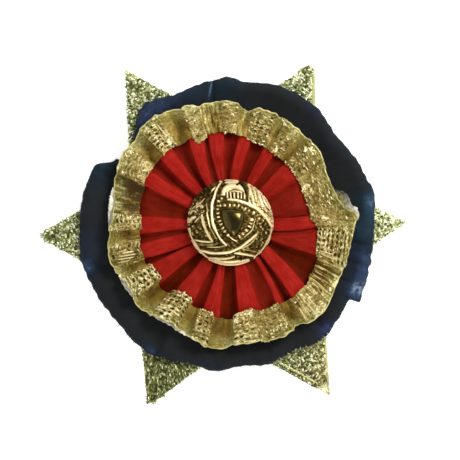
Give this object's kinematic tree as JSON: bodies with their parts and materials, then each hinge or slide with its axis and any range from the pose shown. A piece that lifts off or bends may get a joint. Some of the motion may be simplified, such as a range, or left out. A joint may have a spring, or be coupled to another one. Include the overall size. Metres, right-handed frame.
{
  "type": "rosette pin",
  "caption": "Worn rosette: domed shank button on pleated red and gold ribbon, over a puffed velvet disc and a padded six-pointed star, on a bar pin.",
  "frame": {"origin": "centre of the bounding box's bottom face, on the plane that the bar pin's feet rest on", "axes": "+Z out of the button's face, which is up as the rosette lies; +Y towards the two upper points of the star as worn; +X to the right seen from the front"},
  "size_m": [0.091, 0.0838, 0.0211],
  "materials": {
    "tinsel_cloth": "coarse woven tinsel with bright threads",
    "navy_velvet": "short-pile velvet",
    "red_satin": "soft satin ribbon",
    "gold_mesh": "open-weave metallic ribbon",
    "antique_brass": "cast, darkened in the recesses",
    "plated_steel": "nickel plated"
  },
  "bodies": {
    "root": {"star": "tinsel_cloth", "velvet_disc": "navy_velvet", "red_pleats": "red_satin", "gold_ruffle": "gold_mesh", "button": "antique_brass", "bar_pin": "plated_steel"}
  },
  "joints": []
}
